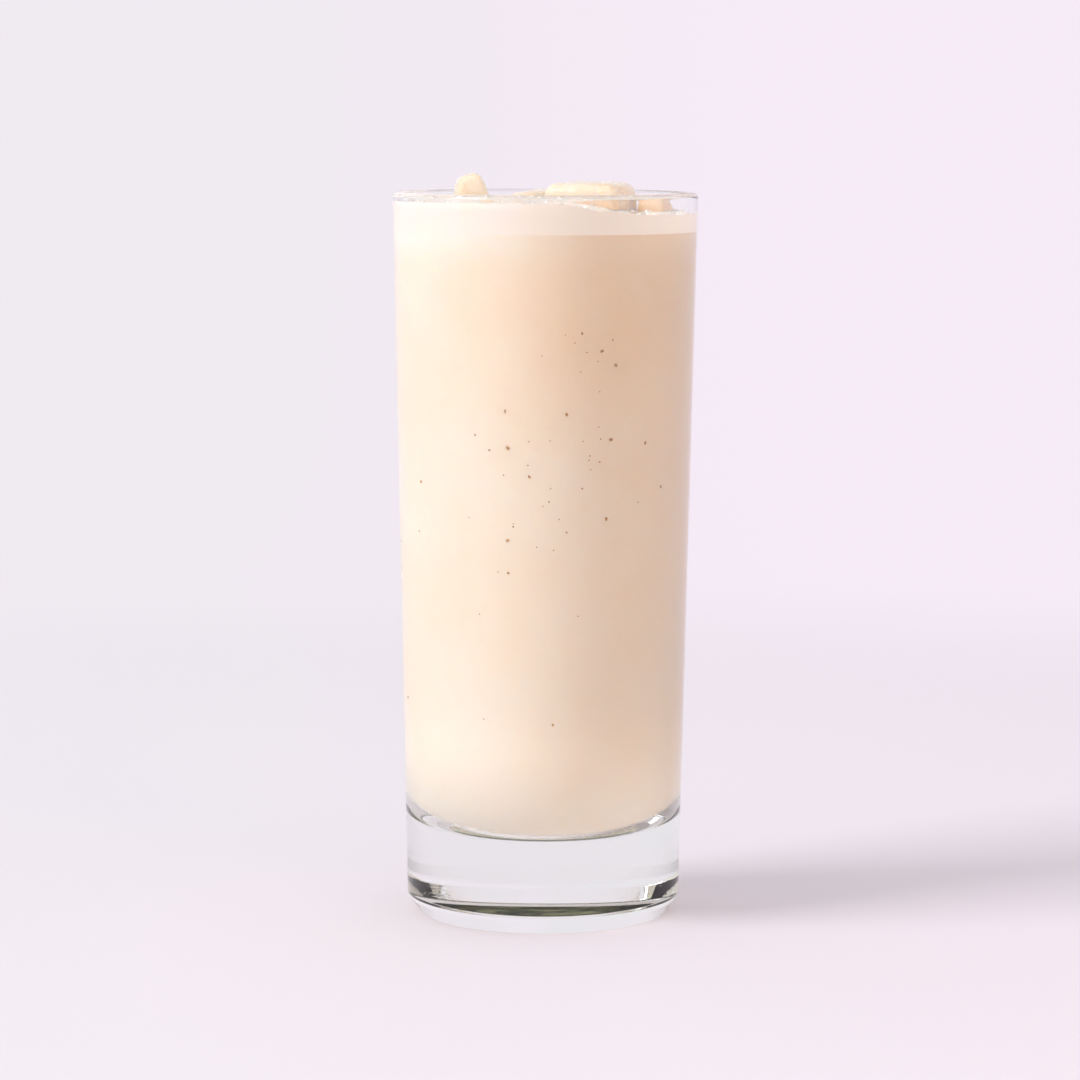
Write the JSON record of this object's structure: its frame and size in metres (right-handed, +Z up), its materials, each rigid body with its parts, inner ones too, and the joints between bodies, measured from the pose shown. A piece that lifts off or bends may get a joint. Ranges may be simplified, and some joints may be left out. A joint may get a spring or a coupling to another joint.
{
  "type": "coconut lemonade",
  "caption": "Tall clear heavy-based glass filled nearly to the rim with creamy coconut lemonade, with froth and ice lumps breaking the surface.",
  "frame": {"origin": "centre of the glass's foot, on the surface it stands on", "axes": "+Z up along the glass's axis; +X to the right and -Y towards the viewer"},
  "size_m": [0.065, 0.065, 0.1588],
  "materials": {
    "glass": "clear soda-lime glass, fire-polished, faintly green through its thick base",
    "lemonade": "opaque creamy drink wetting the glass",
    "froth": "fine wet foam of tiny bubbles, paler than the drink",
    "ice": "ice lumps coated with the drink, wet and slightly see-through at their edges"
  },
  "bodies": {
    "root": {"glass": "glass", "lemonade": "lemonade", "froth": "froth", "ice_lump_left": "ice", "ice_lump_centre": "ice", "ice_lump_right": "ice", "ice_lump_front": "ice", "ice_lump_back": "ice", "ice_lump_far": "ice"}
  },
  "joints": []
}
